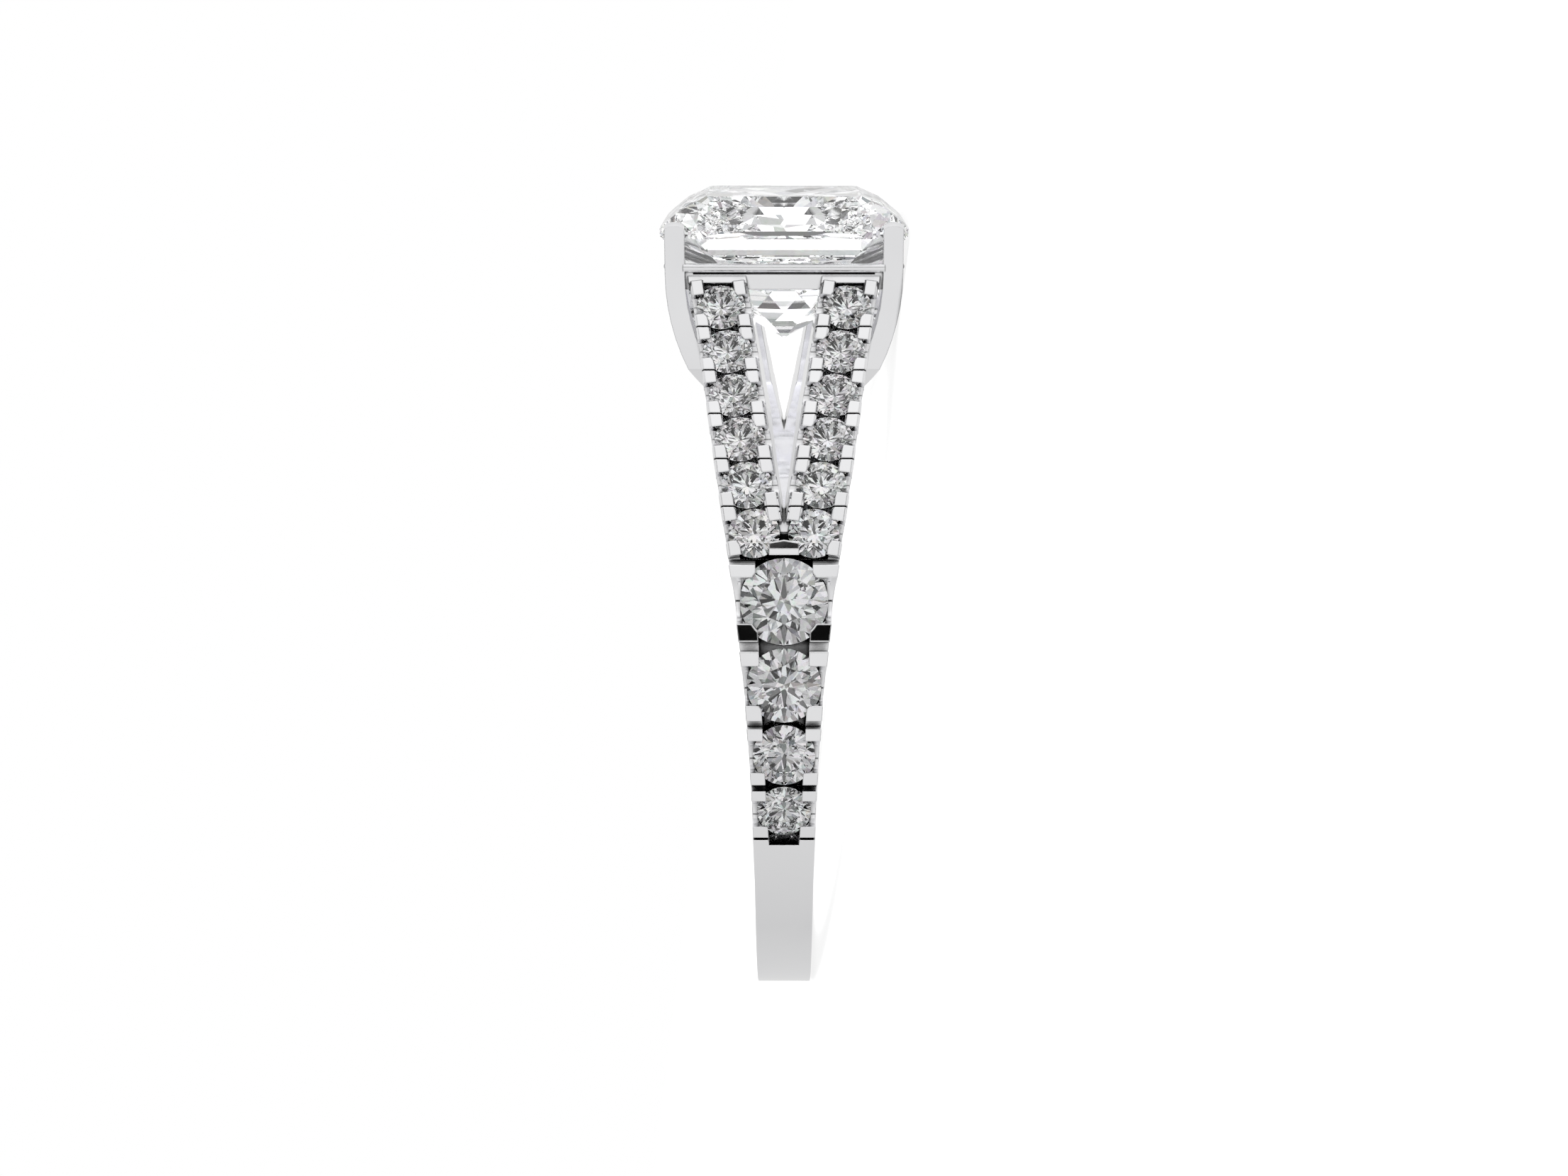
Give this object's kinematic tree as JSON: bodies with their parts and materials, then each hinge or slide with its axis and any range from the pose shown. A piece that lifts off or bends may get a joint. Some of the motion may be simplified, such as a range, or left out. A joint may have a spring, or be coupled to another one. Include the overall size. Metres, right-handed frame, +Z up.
{
  "type": "split shank ring",
  "caption": "Finger ring with a split, stone-set shank that carries a square centre stone in corner prongs.",
  "frame": {"origin": "on the table under the middle of the ring, which lies on its side", "axes": "+Y from the plain band towards the centre stone, +Z up, +X across the front view"},
  "size_m": [0.0208, 0.025, 0.0072],
  "materials": {
    "white_metal": "polished",
    "centre_stone": "polished",
    "small_stones": "polished"
  },
  "bodies": {
    "root": {"mounting": "white_metal", "centre_stone": "centre_stone", "arm_stone_near_left_1": "small_stones", "arm_stone_near_left_2": "small_stones", "arm_stone_near_left_3": "small_stones", "arm_stone_near_left_4": "small_stones", "arm_stone_near_left_5": "small_stones", "arm_stone_near_left_6": "small_stones", "arm_stone_near_right_1": "small_stones", "arm_stone_near_right_2": "small_stones", "arm_stone_near_right_3": "small_stones", "arm_stone_near_right_4": "small_stones", "arm_stone_near_right_5": "small_stones", "arm_stone_near_right_6": "small_stones", "arm_stone_far_left_1": "small_stones", "arm_stone_far_left_2": "small_stones", "arm_stone_far_left_3": "small_stones", "arm_stone_far_left_4": "small_stones", "arm_stone_far_left_5": "small_stones", "arm_stone_far_left_6": "small_stones", "arm_stone_far_right_1": "small_stones", "arm_stone_far_right_2": "small_stones", "arm_stone_far_right_3": "small_stones", "arm_stone_far_right_4": "small_stones", "arm_stone_far_right_5": "small_stones", "arm_stone_far_right_6": "small_stones", "shank_stone_near_1": "small_stones", "shank_stone_near_2": "small_stones", "shank_stone_near_3": "small_stones", "shank_stone_near_4": "small_stones", "shank_stone_far_1": "small_stones", "shank_stone_far_2": "small_stones", "shank_stone_far_3": "small_stones", "shank_stone_far_4": "small_stones"}
  },
  "joints": []
}
